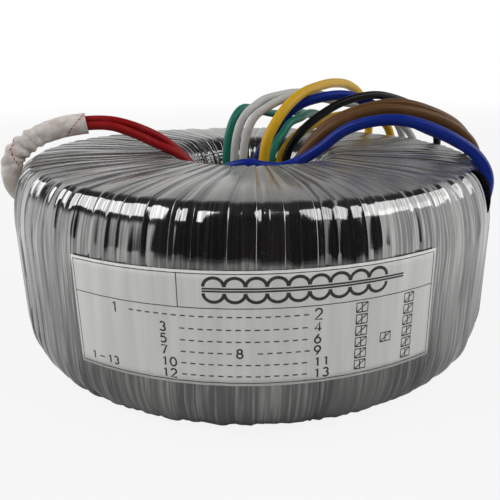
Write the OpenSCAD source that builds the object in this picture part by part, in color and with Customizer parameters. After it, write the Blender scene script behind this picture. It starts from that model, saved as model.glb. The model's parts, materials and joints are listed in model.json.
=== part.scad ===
// Toroidal transformer: a wound ring in lapped polyester film, with thirteen
// flying leads that arch over the top and are tucked down the centre hole.
// Millimetres, +Z up. The origin is the middle of the underside of the ring,
// and the middle of the rating label faces -Y.

/* [Ring] */
// Outside diameter over the film
ring_d = 145; // [140:1:160]
// Height over the film
ring_h = 56; // [54:1:66]
// Diameter of the centre hole at its throat
hole_d = 40; // [38:1:44]
// Corner radius at the top of the outer wall
top_corner = 16; // [10:1:18]
// Height of the rounding at the foot of the outer wall
foot_corner_h = 14; // [8:1:14]
// Width of the rounding at the foot of the outer wall
foot_corner_w = 8; // [5:1:12]
// Radius of the lips where the flat faces turn into the hole
lip = 10; // [6:1:12]

/* [Outer film] */
// Turns of film round the ring
film_turns = 72; // [48:4:80]
// Thickness of the film build-up
film_t = 1.2; // [0.9:0.1:1.6]
// Height of the step where one turn laps the last
lap = 0.4; // [0.2:0.05:0.5]
// Clearance between the film and a lead that passes through it
exit_gap = 0.25; // [0.15:0.05:0.4]

/* [Windings and core] */
// Build of the outer secondary layer, which also houses the splices
outer_layer_t = 3.4; // [3.4:0.1:4.5]
// Build of the inner secondary layer, outside the hole
inner_layer_t = 2; // [1.5:0.1:3]
// Build of the primary, outside the hole
primary_t = 1.8; // [1.4:0.1:3]
// How much thicker the wire piles up inside the hole
hole_pile = 0.8; // [0.4:0.1:1.2]
// Thickness of the film between the windings
layer_film_t = 0.4; // [0.3:0.1:0.8]
// Thickness of the insulation on the core
core_film_t = 0.6; // [0.4:0.1:1.2]
// Clearance between one layer and the next
layer_gap = 0.2; // [0.1:0.05:0.3]
// Bevel on the corners of the wound steel core
core_bevel = 1; // [0.75:0.25:2]

/* [Rating label] */
// Width of the label along the wall
label_w = 88; // [60:1:100]
// Height of the label
label_h = 26; // [18:0.5:26]
// Height of the label's lower edge
label_foot = 15; // [12:0.5:18]
// Thickness of the label
label_t = 0.15; // [0.1:0.05:0.3]
// Clearance between the label and the film's highest step
label_gap = 0.05; // [0.05:0.05:0.2]

/* [Leads] */
// Diameter of the brown, blue and yellow leads
heavy_d = 3.2; // [2.8:0.1:3.2]
// Diameter of the red, white, black and green leads
light_d = 2.6; // [2.2:0.1:2.7]
// Diameter of a stripped and tinned end
tinned_d = 1.5; // [1:0.1:1.8]
// Length of a stripped and tinned end
tinned_l = 5; // [3:0.5:6]
// Height at which the leads leave their splices
splice_top = 26; // [22:1:28]
// Length of a splice's insulating tube
splice_l = 14; // [10:1:16]
// Outside diameter of the sleeve over the red leads
sleeve_d = 7; // [6.8:0.1:7.2]
// Wall of the sleeve
sleeve_t = 0.4; // [0.3:0.1:0.5]

/* [Hidden] */
$fn = 96;
ring_r = ring_d / 2;
hole_r = hole_d / 2;

// How far each face of each layer lies inside the outside of the film
film_in = film_t;
outer_layer_out = film_in + layer_gap;
outer_layer_in = outer_layer_out + outer_layer_t;
secondary_film_out = outer_layer_in + layer_gap;
secondary_film_in = secondary_film_out + layer_film_t;
inner_layer_out = secondary_film_in + layer_gap;
inner_layer_in = inner_layer_out + inner_layer_t;
primary_film_out = inner_layer_in + layer_gap;
primary_film_in = primary_film_out + layer_film_t;
primary_out = primary_film_in + layer_gap;
primary_in = primary_out + primary_t;
core_film_out = primary_in + layer_gap;
core_film_in = core_film_out + core_film_t;
core_out = core_film_in + layer_gap;
core_hole_out = core_out + 2 * hole_pile;

// The outermost layer's windings, each as [first angle, last angle]. The two
// gaps between them are where the splices and the tails of the leads lie.
white_sector = [78, 180];
green_sector = [200, 262];
yellow_sector = [264, 326];
// The layer beneath is shared by the two 32 V windings
winding_gap_angle = 1;

// Tails run up the wall in the middle of the outermost layer
tail_r = ring_r - outer_layer_out - outer_layer_t / 2;
// Heights above the splice at which the points of a tail lie
TAIL_RISES = [0, 7, 13];
// Further points of a lead's route until it is clear of the film
EXIT_POINTS = 2;

// Route of the sleeve, from the rim up and over the shoulder
SLEEVE_ROUTE = [
    [-73.8, -12.6, 46], [-74, -12.5, 50], [-73, -12, 53.5], [-71, -11.5, 57],
    [-68, -10.5, 60], [-64, -8.5, 62.5], [-58, -6, 64.5], [-50.5, -4, 65.5]
];
// Which way the upper red lead lies from the lower one, along that route
SLEEVE_PAIR = [
    [0, 1, 0], [0, 1, 0], [0, 1, 0.2], [0, 1, 0.4],
    [0, 1, 0.5], [0, 1, 0.6], [0, 1, 0.6], [0, 1, 0.6]
];

function unit(v) = v / norm(v);
function tangent(p, i) = unit(p[min(i + 1, len(p) - 1)] - p[max(i - 1, 0)]);
function square_to(v, t) = unit(v - (v * t) * t);
function pair_side(i) = square_to(SLEEVE_PAIR[i], tangent(SLEEVE_ROUTE, i));
// The two red leads lie side by side across the sleeve's bore
sleeve_bore = sleeve_d - 2 * sleeve_t;
red_pitch = sleeve_bore / 2;
function in_sleeve(way) = [
    for (i = [0 : len(SLEEVE_ROUTE) - 1])
        SLEEVE_ROUTE[i] + way * red_pitch / 2 * pair_side(i)
];

RED = "firebrick";
BROWN = "saddlebrown";
BLUE = "mediumblue";
WHITE = "gainsboro";
GREEN = "seagreen";
YELLOW = "gold";

// Each lead: name, colour, diameter, angle of its tail round the ring, route
// over the top, place where it hangs in the hole, height of its cut end
LEADS = [
    ["lead_red_a", RED, light_d, 187, concat(in_sleeve(1), [
        [-43, -2, 66], [-36, -1.5, 64], [-29, -0.5, 60.5], [-24.5, 0, 57],
        [-20.5, 0, 53], [-17.5, 0, 48]]), [-16, 0], 11],
    ["lead_red_b", RED, light_d, 192, concat(in_sleeve(-1), [
        [-43, -5, 64.5], [-36, -4.5, 62], [-29, -4, 58.5], [-25, -4, 56.8],
        [-21, -4, 54], [-18, -4, 50]]), [-16, -4], 10],
    ["lead_blue_a", BLUE, heavy_d, 338, [
        [65.5, -26.5, 50.5], [63, -25.5, 56], [57.5, -24.5, 60.5], [49.5, -22.5, 64.5],
        [41.5, -21, 66.5], [33.5, -19, 66], [26.5, -17.5, 63.5], [20, -16.5, 58.5],
        [14.5, -15.5, 55], [9, -16, 53], [4, -17.5, 53.5], [-1, -18, 54.5],
        [-6, -17, 53.5], [-10, -15, 50.5], [-12, -13, 46]], [-12.5, -12], 12],
    ["lead_blue_b", BLUE, heavy_d, 345, [
        [67.5, -18, 51], [65, -16, 56], [60, -11.5, 59.5], [55.5, -1, 61.5],
        [50, 7, 64], [44, 12.5, 66.5], [38, 13.5, 69.5], [31, 12.5, 71.5],
        [23, 10.5, 71], [16, 9, 69], [11.5, 8.5, 65.5], [9, 8, 61.5],
        [6, 7, 58], [3.5, 5, 55.5], [1.5, 3.5, 51.5]], [1, 3], 9],
    ["lead_brown_a", BROWN, heavy_d, 359, [
        [69.5, -1, 51], [68, -2, 57.5], [63, -4, 63], [54, -6.5, 67.5],
        [44.5, -8, 70], [37, -9, 69.5], [29.5, -9, 67.5], [23.5, -8.5, 64.5],
        [18, -8.5, 59], [14.5, -8.5, 53]], [14, -8.5], 8],
    ["lead_brown_b", BROWN, heavy_d, 352, [
        [68.5, -10, 51], [66.5, -10, 57.5], [60.5, -10.5, 63], [52.5, -11, 66.5],
        [43.5, -12, 68.5], [36, -12.5, 68.5], [29, -12.5, 66.5], [23, -12.5, 63.5],
        [17.5, -12, 58.5], [13.5, -11.8, 53.5]], [12.5, -11.8], 11],
    ["lead_black", "black", light_d, 18, [
        [66, 21.5, 51], [65.5, 21, 56.5], [62, 20, 62], [56.5, 17.5, 66.5],
        [50, 15, 69.5], [41, 11, 71.5], [30.5, 6.5, 70], [22, 3, 66],
        [15.5, 0, 61], [11.5, -1.5, 55]], [10.5, -2], 10],
    ["lead_white_a", WHITE, light_d, 33, [
        [58.5, 38, 51], [56, 37, 58], [50, 35.5, 64.5], [41, 32, 68.5],
        [31, 27.5, 70], [22.5, 21.5, 71.5], [15, 15, 72.5], [9.5, 10.5, 72],
        [4.5, 7, 71], [1, 4, 69], [-1.5, 2, 67], [-3.5, 1, 63.5],
        [-5, 0, 58.5]], [-6, -0.5], 12],
    ["lead_white_b", WHITE, light_d, 28, [
        [61.5, 32.5, 51], [58, 32, 57.5], [52, 29.5, 62], [42, 26, 66.5],
        [32, 22, 68.5], [23, 17.5, 70.5], [15, 11, 71.5], [10.5, 6.5, 71],
        [4.5, 2, 68.5], [1, -0.5, 66], [-1.5, -2, 61], [-2.5, -3, 56]], [-3, -3.5], 9],
    ["lead_green_a", GREEN, light_d, 64, [
        [30, 62, 52], [28.5, 60, 57.5], [24, 53, 61.5], [19, 45, 63.5],
        [8.5, 29, 64.5], [4, 21.5, 66], [-2.5, 11.5, 68], [-5, 7.5, 66],
        [-7, 4.5, 61.5], [-8, 3, 55.5]], [-8.5, 3], 10],
    ["lead_green_b", GREEN, light_d, 58, [
        [36.5, 58.5, 52], [33.5, 51.5, 58], [27, 38.5, 62.5], [21, 24, 65],
        [16.5, 12, 64.5], [12.5, 5.5, 63.5], [10, 2, 60.5], [7.5, -1, 57.5],
        [6, -2.5, 53]], [5.5, -3], 8],
    ["lead_yellow_a", YELLOW, heavy_d, 48, [
        [47, 52.5, 51], [48, 53.5, 55.5], [46, 51, 62], [43, 47.5, 69],
        [37, 39, 73.5], [30, 28, 75], [23.5, 17, 74.5], [16, 5, 72.5],
        [10.5, -2, 68.5], [7, -5.5, 64], [4.5, -7.5, 59]], [3, -8.5], 11],
    ["lead_yellow_b", YELLOW, heavy_d, 38, [
        [55, 43.5, 52], [53, 42.5, 57.5], [48, 38.5, 61.5], [41, 31, 63],
        [33, 23, 64], [25, 14, 63.5], [18.5, 7, 62], [14, 3.5, 59],
        [10.5, 2, 55], [9, 1.8, 50]], [8.5, 1.8], 9]
];

// Steps down the hole where a lead hangs straight
HANG = [42, 32, 22, 15];

function tail(angle) = [
    for (rise = TAIL_RISES)
        [tail_r * cos(angle), tail_r * sin(angle), splice_top + rise]
];
function hang(place, end_z) = [
    for (z = concat(HANG, [end_z])) [place[0], place[1], z]
];
function route(l) = concat(tail(l[3]), l[4], hang(l[5], l[6]));

LEAD_NAMES = [for (l = LEADS) l[0]];

// A quarter of an ellipse as points [radius, height]
function corner(c, w, h, from, to, steps) = [
    for (i = [0 : steps])
        let (a = from + (to - from) * i / steps)
        [c[0] + w * cos(a), c[1] + h * sin(a)]
];

// Each layer rounds off the corners of the one beneath it a little more
core_corner = 1.5 * core_bevel;
function sharper(radius, depth) = radius + (core_corner - radius) * depth;

// The ring's section, drawn inwards by `inset`, and by `hole_inset` in the hole
function section(inset, hole_inset) =
    let (
        r = ring_r - inset,
        top = ring_h - inset,
        inner = hole_r + hole_inset,
        tc = sharper(top_corner, inset / core_out),
        fw = sharper(foot_corner_w, inset / core_out),
        fh = sharper(foot_corner_h, inset / core_out),
        lc = sharper(lip, hole_inset / core_hole_out)
    )
    concat(
        corner([r - fw, inset + fh], fw, fh, -90, 0, 4),
        corner([r - tc, top - tc], tc, tc, 0, 90, 6),
        corner([inner + lc, top - lc], lc, lc, 90, 180, 4),
        corner([inner + lc, inset + lc], lc, lc, 180, 270, 4)
    );

// A closed skin round the ring, between two insets
module skin(out, in, pile_out = 0, pile_in = 0, from = 0, sweep = 360) {
    rotate([0, 0, from])
        rotate_extrude(angle = sweep)
            difference() {
                polygon(section(out, out + pile_out));
                polygon(section(in, in + pile_in));
            }
}

// One winding that covers part of the ring, with the gap to its neighbour
module sector(span, out, in, pile_out, pile_in) {
    skin(out, in, pile_out, pile_in, span[0], span[1] - span[0]);
}

module steel_core() {
    r = ring_r - core_out;
    inner = hole_r + core_hole_out;
    color("slategray")
        rotate_extrude()
            polygon([
                [inner + core_bevel, core_out], [r - core_bevel, core_out],
                [r, core_out + core_bevel], [r, ring_h - core_out - core_bevel],
                [r - core_bevel, ring_h - core_out],
                [inner + core_bevel, ring_h - core_out],
                [inner, ring_h - core_out - core_bevel], [inner, core_out + core_bevel]
            ]);
}

module core_film() {
    color("cornsilk") skin(core_film_out, core_film_in, 2 * hole_pile, 2 * hole_pile);
}

module primary_winding() {
    color("darkgoldenrod") skin(primary_out, primary_in, hole_pile, 2 * hole_pile);
}

module primary_film() {
    color("cornsilk") skin(primary_film_out, primary_film_in, hole_pile, hole_pile);
}

module winding_32v(colour, from) {
    color(colour)
        sector([from, from + 180 - winding_gap_angle],
            inner_layer_out, inner_layer_in, 0, hole_pile);
}

module winding_15v(colour, span) {
    color(colour) sector(span, outer_layer_out, outer_layer_in, 0, 0);
}

module secondary_film() {
    color("cornsilk") skin(secondary_film_out, secondary_film_in);
}

// The joints between the leads and the winding wires, each in a short tube
module splices() {
    color("ivory")
        for (l = LEADS)
            rotate([0, 0, l[3]])
                translate([tail_r, 0, splice_top - splice_l])
                    cylinder(h = splice_l, d = l[2]);
}

// A tube with `sides` flats, swept along the points p. Its first flat faces as
// near to START_SIDE as it can, and the rest follow on without a twist.
START_SIDE = [0.2, 1, 0.1];
function frame_normals(p, i, n) =
    i >= len(p) ? [] :
    let (m = square_to(n, tangent(p, i)))
    concat([m], frame_normals(p, i + 1, m));
function rings(p, r, sides) =
    let (n = frame_normals(p, 0, START_SIDE))
    [for (i = [0 : len(p) - 1])
        let (b = cross(tangent(p, i), n[i]))
        for (k = [0 : sides - 1])
            p[i] + r * (cos(360 * k / sides) * n[i] + sin(360 * k / sides) * b)];
function walls(count, sides, first) = [
    for (i = [0 : count - 2], k = [0 : sides - 1])
        let (a = first + i * sides + k, b = first + i * sides + (k + 1) % sides)
        each [[a, a + sides, b + sides], [a, b + sides, b]]
];
module tube(p, d, sides = 8) {
    polyhedron(
        points = rings(p, d / 2, sides),
        faces = concat(
            walls(len(p), sides, 0),
            [[for (k = [0 : sides - 1]) k]],
            [[for (k = [sides - 1 : -1 : 0]) (len(p) - 1) * sides + k]]
        )
    );
}

module lead(l) {
    color(l[1]) tube(route(l), l[2]);
}

// The first part of a lead's route, from its splice until it is clear of the film
function exit_route(l) =
    let (p = route(l))
    [for (i = [0 : len(TAIL_RISES) + EXIT_POINTS - 1]) p[i]];

// Sleeve: a hollow tube, open at both ends
module lead_sleeve() {
    sides = 12;
    count = len(SLEEVE_ROUTE);
    inner = count * sides;
    color("antiquewhite")
        polyhedron(
            points = concat(
                rings(SLEEVE_ROUTE, sleeve_d / 2, sides),
                rings(SLEEVE_ROUTE, sleeve_d / 2 - sleeve_t, sides)
            ),
            faces = concat(
                walls(count, sides, 0),
                [for (f = walls(count, sides, inner)) [f[2], f[1], f[0]]],
                [for (k = [0 : sides - 1])
                    let (n = (k + 1) % sides)
                    each [[k, n, inner + n], [k, inner + n, inner + k]]],
                [for (k = [0 : sides - 1])
                    let (n = (k + 1) % sides, e = (count - 1) * sides)
                    each [[e + n, e + k, inner + e + k], [e + n, inner + e + k, inner + e + n]]]
            )
        );
}

module tinned_ends() {
    color("lightgray")
        for (l = LEADS)
            translate([l[5][0], l[5][1], l[6] - tinned_l])
                cylinder(h = tinned_l, d = tinned_d);
}

// The film wrap. Each turn goes once round the section and comes back one turn
// further round the ring, so the wrap is a true spiral. Across its width a turn
// climbs from the last turn's surface to its own edge, and steps down there.
film_pitch = 360 / film_turns;
// Share of its pitch over which a turn climbs; the step takes the rest
climb = 0.94;
// How far the turns stray along the ring, in pitches, and differ in their laps
stray = 0.15;
lap_spread = 0.25;
function turn_start(t) = film_pitch * (t + stray * (sin(137 * t) + sin(61 * t) / 2));
function turn_lap(t) = lap * (1 - lap_spread + lap_spread * sin(97 * t));
module film_skin() {
    // Drawn a step inside the outer size, so that the highest laps reach it
    outline = section(lap, lap);
    n = len(outline);
    // and pressed flat on the underside
    rounding = 0.001;
    resting = [for (q = outline) [q[0], q[1] < lap + rounding ? 0 : q[1]]];
    // Edges of the turns: the foot of each step, then its crest
    columns = 2 * film_turns;
    function across(c, j) =
        let (t = floor(c / 2), turn = t % film_turns)
        (c % 2 == 0 ? turn_start(turn)
            : turn_start(turn) * (1 - climb) + (turn_start((turn + 1) % film_turns)
                + (turn + 1 == film_turns ? 360 : 0)) * climb)
        + (t >= film_turns ? 360 : 0);
    function rise(c) = c % 2 == 0 ? 0 : turn_lap(floor(c / 2) % film_turns);
    // Outward direction of the section at each of its points
    out = [for (j = [0 : n - 1])
        let (d = resting[(j + 1) % n] - resting[(j + n - 1) % n])
        unit([d[1], -d[0]])];
    points = [for (c = [0 : columns - 1], j = [0 : n - 1])
        let (
            slip = film_pitch * j / n,
            a = across(c, j) + slip,
            up = rise(c) * (resting[j][1] == 0 ? 0 : 1),
            q = resting[j] + up * out[j]
        )
        [q[0] * cos(a), q[0] * sin(a), max(q[1], 0)]];
    // Round the ring the last point of one turn meets the first of the next
    function at(c, j) =
        j == n ? ((c + 2) % columns) * n : (c % columns) * n + j;
    faces = [for (c = [0 : columns - 1], j = [0 : n - 1])
        each [
            [at(c, j), at(c, j + 1), at(c + 1, j + 1)],
            [at(c, j), at(c + 1, j + 1), at(c + 1, j)]
        ]];
    polyhedron(points = points, faces = faces);
}

module film_wrap() {
    color("dimgray")
        difference() {
            film_skin();
            rotate_extrude() polygon(section(film_in, film_in));
            for (l = LEADS) tube(exit_route(l), l[2] + 2 * exit_gap);
        }
}

module rating_label() {
    sweep = label_w / ring_r * 180 / PI;
    color("whitesmoke")
        rotate([0, 0, 270 - sweep / 2])
            rotate_extrude(angle = sweep)
                translate([ring_r + label_gap, label_foot])
                    square([label_t, label_h]);
}

steel_core();
core_film();
primary_winding();
primary_film();
winding_32v("peru", 90);  // winding_32v_brown
winding_32v("chocolate", 270);  // winding_32v_blue
secondary_film();
winding_15v("sienna", white_sector);  // winding_15v_white
winding_15v("peru", green_sector);  // winding_15v_green
winding_15v("chocolate", yellow_sector);  // winding_15v_yellow
splices();
film_wrap();
rating_label();
lead_sleeve();
tinned_ends();
for (l = LEADS) lead(l);
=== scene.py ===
# %% [markdown]
# # Dressing a toroidal transformer
# The part is a ring of steel and copper, wrapped turn by turn in glossy film,
# with thirteen leads that arch over the top and are tucked down its hole. The
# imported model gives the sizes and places; here each visible piece gets the
# shape and the finish that make it look real. Lengths are in metres unless a
# line says millimetres.

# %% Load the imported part
import json
import math

import bpy
import numpy as np
from mathutils import Matrix, Vector


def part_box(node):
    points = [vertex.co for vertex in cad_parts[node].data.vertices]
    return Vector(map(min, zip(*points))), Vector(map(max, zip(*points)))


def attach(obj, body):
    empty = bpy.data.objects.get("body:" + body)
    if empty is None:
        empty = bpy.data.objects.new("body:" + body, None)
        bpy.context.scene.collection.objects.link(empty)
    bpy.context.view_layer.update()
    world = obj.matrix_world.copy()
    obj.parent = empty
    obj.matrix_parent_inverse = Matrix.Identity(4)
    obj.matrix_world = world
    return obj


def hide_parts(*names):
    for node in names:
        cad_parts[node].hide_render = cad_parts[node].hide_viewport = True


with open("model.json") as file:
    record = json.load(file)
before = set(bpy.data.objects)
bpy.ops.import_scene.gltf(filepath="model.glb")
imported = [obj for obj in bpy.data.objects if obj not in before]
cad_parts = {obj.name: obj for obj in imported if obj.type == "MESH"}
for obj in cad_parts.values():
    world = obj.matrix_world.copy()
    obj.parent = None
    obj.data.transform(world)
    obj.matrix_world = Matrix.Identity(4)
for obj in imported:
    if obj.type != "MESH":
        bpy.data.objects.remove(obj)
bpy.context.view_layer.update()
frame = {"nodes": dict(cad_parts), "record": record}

MM = 0.001
ring_top_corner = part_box("film_wrap")[1]
ring_r, ring_h = ring_top_corner[0], ring_top_corner[2]
hole_r = 20 * MM  # the part's source has a 40 mm hole
print("ring radius and height", round(ring_r, 4), round(ring_h, 4))

# %% [markdown]
# ## Camera
# A close, low view with the ring nearly filling the frame. A close camera makes
# the near wall bulge towards the lens, so the distance matters as much as the
# lens: both come from the ring's known size. A tiny roll tips the horizon.

# %% Place the camera
# Metres, radians, and millimetres for the lens
CAMERA_PLACE = (0, -0.182, 0.0831)
CAMERA_PITCH = 0.323
CAMERA_ROLL = -0.017
FOCAL_LENGTH, FILM_WIDTH = 40.9, 36
SIDE_SHIFT = -0.0066
lens = bpy.data.cameras.new("camera")
lens.sensor_width = FILM_WIDTH
lens.lens = FOCAL_LENGTH
lens.shift_x = SIDE_SHIFT
lens.clip_start = 0.01
camera = bpy.data.objects.new("camera", lens)
bpy.context.scene.collection.objects.link(camera)
camera.matrix_world = (
    Matrix.Translation(CAMERA_PLACE)
    @ Matrix.Rotation(math.pi / 2 - CAMERA_PITCH, 4, "X")
    @ Matrix.Rotation(CAMERA_ROLL, 4, "Z")
)
bpy.context.scene.camera = camera
bpy.context.scene.view_settings.view_transform = "Standard"
print("camera at", CAMERA_PLACE)

# %% [markdown]
# ## Shader maths in Python
# Node trees are easier to read as sums. One small class wraps a node's output
# socket, so that `0.2 + 0.5 * grain` adds the Math nodes for us.


# %% Wrap a socket so that it can be used in a sum
class Field:
    """The output of a node: a number, colour or vector that varies in space."""

    def __init__(self, tree, socket=None):
        self.tree = tree
        self.socket = socket

    def node(self, kind, settings=None, sockets=None, out=0):
        """Any node by its type, its settings, and the values or links of its sockets."""
        node = self.tree.nodes.new(kind)
        for name, value in (settings or {}).items():
            setattr(node, name, value)
        for name, value in (sockets or {}).items():
            self.put(node.inputs[name], value)
        return Field(self.tree, node.outputs[out])

    def other(self, output):
        """Another output of the same node."""
        return Field(self.tree, self.socket.node.outputs[output])

    def put(self, socket, value):
        """Links a field to a socket, or sets it to a constant."""
        if isinstance(value, Field):
            self.tree.links.new(value.socket, socket)
        elif socket.type == "RGBA" and len(value) == 3:
            socket.default_value = (*value, 1)
        else:
            socket.default_value = value

    def maths(self, operation, *values):
        return self.node("ShaderNodeMath", {"operation": operation}, dict(enumerate(values)))

    def __add__(self, other):
        return self.maths("ADD", self, other)

    def __sub__(self, other):
        return self.maths("SUBTRACT", self, other)

    def __rsub__(self, other):
        return self.maths("SUBTRACT", other, self)

    def __mul__(self, other):
        return self.maths("MULTIPLY", self, other)

    __radd__ = __add__
    __rmul__ = __mul__

    def __lt__(self, other):
        return self.maths("LESS_THAN", self, other)

    def __gt__(self, other):
        return self.maths("GREATER_THAN", self, other)

    def fade(self, low, high):
        """0 below low, 1 above high, and smooth between them."""
        return self.node(
            "ShaderNodeMapRange", {"interpolation_type": "SMOOTHSTEP"},
            {"Value": self, "From Min": low, "From Max": high})

    def mix(self, low, high):
        """This number, from 0 to 1, picks a colour between low and high."""
        return self.node("ShaderNodeMix", {"data_type": "RGBA"}, {0: self, 6: low, 7: high}, 2)

    def noise(self, where, scale, detail=2.0, roughness=0.5):
        return self.node(
            "ShaderNodeTexNoise", None,
            {"Vector": where, "Scale": scale, "Detail": detail, "Roughness": roughness})

    def bump(self, height, distance, strength=1.0):
        return self.node(
            "ShaderNodeBump", None,
            {"Height": height, "Distance": distance, "Strength": strength})

    def place(self):
        """Where a point is on the object, in metres."""
        return self.node("ShaderNodeTexCoord", out=3)

    def along(self, layer):
        """The two numbers kept on the mesh under that name, as two fields."""
        first = self.node("ShaderNodeUVMap", {"uv_map": layer}).split()
        return first, first.other(1)

    def split(self):
        """The first of a vector's three numbers; `other` gives the rest."""
        return self.node("ShaderNodeSeparateXYZ", None, {0: self})

    def kept(self, name):
        """A number kept on the mesh's points under that name."""
        return self.node("ShaderNodeAttribute", {"attribute_name": name}, out=2)

    def vector(self, x, y, z=0.0):
        return self.node("ShaderNodeCombineXYZ", None, {0: x, 1: y, 2: z})


def finish(name, vary, **plain):
    """A material: `plain` are constants, `vary` returns the sockets that change."""
    material = bpy.data.materials.new(name)
    material.use_nodes = True
    tree = material.node_tree
    shader = tree.nodes["Principled BSDF"]
    start = Field(tree)
    for socket, value in plain.items():
        start.put(shader.inputs[socket.replace("_", " ").title().replace("Ior", "IOR")], value)
    for socket, value in vary(start).items():
        start.put(shader.inputs[socket], value)
    return material


print("shader helper ready")

# %% [markdown]
# ## Meshes from rows of points
# Most pieces here are grids of points: rings along a lead, or columns round the
# ring. One function turns a grid into a mesh and keeps two numbers per corner,
# so that a finish can follow the piece's own direction.


# %% Build a mesh from a grid
def show(name, mesh):
    """Puts a mesh into the scene as a piece."""
    piece = bpy.data.objects.new(name, mesh)
    bpy.context.scene.collection.objects.link(piece)
    return piece


def grid_mesh(name, points, closed_rows, closed_columns, uv, kept=None, keep_face=None):
    """A smooth piece from points[i, j]; `uv` has a number for each row and column."""
    rows, columns = points.shape[:2]
    i = np.arange(rows if closed_rows else rows - 1)
    j = np.arange(columns if closed_columns else columns - 1)
    a, b = (m.ravel() for m in np.meshgrid(i, j, indexing="ij"))
    corners = [(a, b), ((a + 1), b), ((a + 1), (b + 1)), (a, (b + 1))]
    if keep_face is not None:
        wanted = keep_face(a, b)
        corners = [(p[wanted], q[wanted]) for p, q in corners]
    faces = np.stack([(p % rows) * columns + q % columns for p, q in corners], 1)
    mesh = bpy.data.meshes.new(name)
    mesh.from_pydata(points.reshape(-1, 3).tolist(), [], faces.tolist())
    layer = mesh.uv_layers.new(name="run")
    by_row, by_column = uv
    pairs = np.stack([np.stack([by_row[p], by_column[q]], 1) for p, q in corners], 1)
    layer.data.foreach_set("uv", pairs.reshape(-1).astype(np.float32))
    for label, values in (kept or {}).items():
        attribute = mesh.attributes.new(label, "FLOAT", "POINT")
        attribute.data.foreach_set("value", values.reshape(-1).astype(np.float32))
    mesh.shade_smooth()
    return show(name, mesh)


def dress(piece, material, slot, *nodes):
    """Gives a piece its finish and its place on the part, and hides the imported parts it stands
    for.
    """
    piece.data.materials.append(material)
    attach(piece, "root")
    if nodes:
        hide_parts(*nodes)


print("mesh helpers ready")

# %% [markdown]
# ## The leads' routes
# A lead is a fixed length of stranded wire in soft plastic, and it can't turn
# sharply. Each starts at its splice inside the wall, comes out through the film
# near the rim, arches over the top and hangs down the hole. No formula gives
# such a shape, so the points are listed one by one, as in the part's source.

# %% The routes, in millimetres
SPLICE_TOP = 26
TAIL_RISES = (0, 7, 13)
TAIL_R = 69.4
HANG = (42, 32, 22, 15)
TINNED_L, TINNED_D = 5, 1.5

# The sleeve's foot, hidden in the film, then the rest of its line, and at each
# point of that the direction from red lead b to red lead a
TUCKED = np.array([(-66.6, -11.6, 41.6), (-68.9, -12, 44)])
SLEEVE_ROUTE = np.array([
    (-71, -12.5, 46.5), (-72.1, -12.5, 50), (-71.9, -12, 53.5), (-71, -11.5, 57),
    (-68, -10.5, 60), (-64, -8.5, 62.5), (-58, -6, 64.5), (-50.5, -4, 65.5)])
SLEEVE_PAIR = np.array([
    (0, 1, 0), (0, 1, 0), (0, 1, 0.2), (0, 1, 0.4),
    (0, 1, 0.5), (0, 1, 0.6), (0, 1, 0.6), (0, 1, 0.6)])
RED_PITCH = 3.1

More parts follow.
